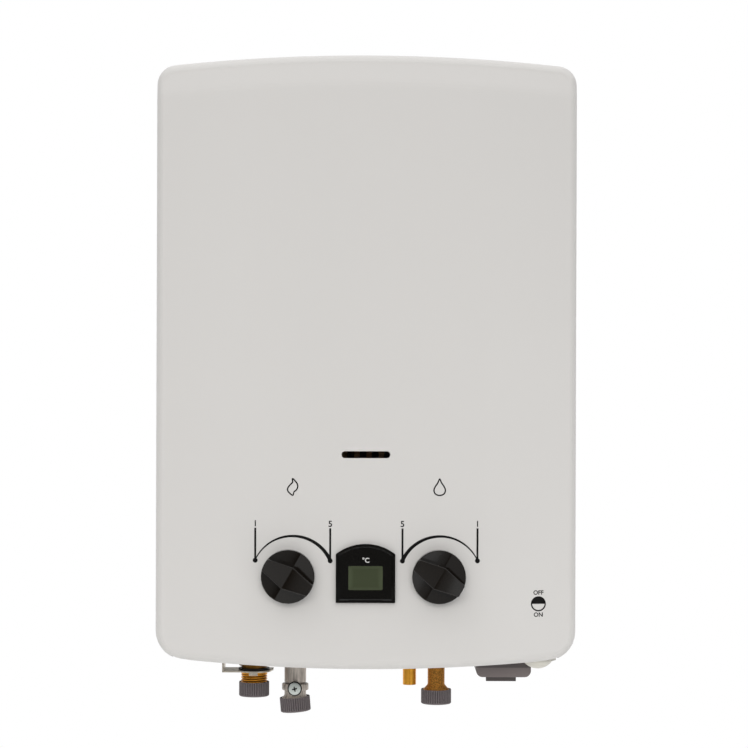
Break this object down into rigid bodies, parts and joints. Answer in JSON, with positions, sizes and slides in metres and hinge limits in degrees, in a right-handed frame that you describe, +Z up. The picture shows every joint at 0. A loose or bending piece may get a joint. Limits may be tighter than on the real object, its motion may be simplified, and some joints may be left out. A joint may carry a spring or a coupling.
{
  "type": "tankless gas water heater",
  "caption": "Wall-hung instantaneous gas water heater: bowed cover with control knobs, small display and flame window, flue collar on top, capped pipe connections below.",
  "frame": {"origin": "on the wall plane behind the middle of the cover", "axes": "+Z up, front faces -Y, +X to the viewer's right"},
  "size_m": [0.329, 0.1712, 0.5155],
  "materials": {
    "cover_paint": "satin powder coat",
    "sheet_steel": "zinc coated",
    "screw_steel": "zinc coated",
    "copper": "bare copper",
    "brass": "machined",
    "burner_steel": "heat tinted sheet, hollow",
    "cast_alloy": "cast",
    "bracket_steel": "plated",
    "ceramic": "glazed",
    "black_plastic": "fine grain",
    "bezel_plastic": "gloss",
    "lcd": "dark screen",
    "board": "solder mask",
    "cap_plastic": "soft moulded",
    "lid_plastic": "moulded",
    "cream_plastic": "moulded",
    "white_plastic": "moulded",
    "rubber": "moulded",
    "cell_jacket": "printed jacket"
  },
  "bodies": {
    "heater": {"front_cover": "cover_paint", "back_plate": "sheet_steel", "bottom_plate": "sheet_steel", "support_rails": "sheet_steel", "draft_hood": "sheet_steel", "flue_collar": "sheet_steel", "burner_tray": "sheet_steel", "electrode_bracket": "sheet_steel", "cover_screws": "screw_steel", "chassis_screws": "screw_steel", "diaphragm_screws": "screw_steel", "pressure_tap_screw": "screw_steel", "rod_spring": "screw_steel", "outlet_clip": "screw_steel", "lid_pin": "screw_steel", "battery_contacts": "screw_steel", "overheat_thermostat": "screw_steel", "temperature_probe": "screw_steel", "combustion_chamber": "copper", "fin_stack": "copper", "exchanger_tubes": "copper", "cold_feed_pipe": "copper", "hot_pipe": "copper", "gas_injectors": "brass", "water_valve_body": "brass", "diaphragm_cover": "brass", "cold_inlet": "brass", "relief_valve": "brass", "pipe_nuts": "brass", "hot_outlet": "brass", "burner_bars": "burner_steel", "gas_manifold": "cast_alloy", "gas_valve_body": "cast_alloy", "gas_inlet": "cast_alloy", "outlet_bracket": "bracket_steel", "ignition_electrode": "ceramic", "flame_sensor": "ceramic", "igniter_module": "black_plastic", "solenoid_valve": "black_plastic", "microswitch": "black_plastic", "display_bezel": "bezel_plastic", "display_glass": "lcd", "display_board": "board", "rocker_housing": "cream_plastic", "battery_box": "white_plastic", "diaphragm": "rubber", "battery_cells": "cell_jacket"},
    "flame_knob": {"flame_knob": "black_plastic", "flame_spindle": "screw_steel"},
    "water_knob": {"water_knob": "black_plastic", "water_spindle": "screw_steel"},
    "power_rocker": {"rocker": "cream_plastic"},
    "battery_lid": {"battery_lid": "lid_plastic"},
    "hot_cap": {"hot_cap": "cap_plastic"},
    "gas_cap": {"gas_cap": "cap_plastic"},
    "cold_cap": {"cold_cap": "cap_plastic"},
    "push_rod": {"push_rod": "screw_steel"},
    "switch_lever": {"microswitch_lever": "screw_steel"}
  },
  "joints": [
    {"name": "flame_knob_turn", "type": "hinge", "parent": "heater", "child": "flame_knob", "pos_m": [-0.0593, -0.1512, -0.164], "axis": [0, 1, 0], "range_deg": [0, 120]},
    {"name": "water_knob_turn", "type": "hinge", "parent": "heater", "child": "water_knob", "pos_m": [0.0561, -0.1512, -0.164], "axis": [0, 1, 0], "range_deg": [0, 120]},
    {"name": "power_rocker_tip", "type": "hinge", "parent": "heater", "child": "power_rocker", "pos_m": [0.134, -0.1185, -0.2275], "axis": [1, 0, 0], "range_deg": [0, 16]},
    {"name": "battery_lid_swing", "type": "hinge", "parent": "heater", "child": "battery_lid", "pos_m": [0.1085, -0.0296, -0.2367], "axis": [1, 0, 0], "range_deg": [0, 90]},
    {"name": "hot_cap_pull", "type": "slide", "parent": "heater", "child": "hot_cap", "axis": [0, 0, -1], "range_m": [0, 0.1]},
    {"name": "gas_cap_pull", "type": "slide", "parent": "heater", "child": "gas_cap", "axis": [0, 0, -1], "range_m": [0, 0.1]},
    {"name": "cold_cap_pull", "type": "slide", "parent": "heater", "child": "cold_cap", "axis": [0, 0, -1], "range_m": [0, 0.1]},
    {"name": "push_rod_slide", "type": "slide", "parent": "heater", "child": "push_rod", "axis": [-1, 0, 0], "range_m": [0, 0.004], "stiffness_N_per_m": 800, "springref_m": -0.003, "deforming": ["rod_spring"]},
    {"name": "switch_lever_tip", "type": "hinge", "parent": "heater", "child": "switch_lever", "pos_m": [0, -0.082, -0.143], "axis": [0, 1, 0], "range_deg": [0, 17.5]}
  ],
  "couplings": [
    {"joint": "switch_lever_tip", "follows": "push_rod_slide", "rad_per_m": 74}
  ]
}
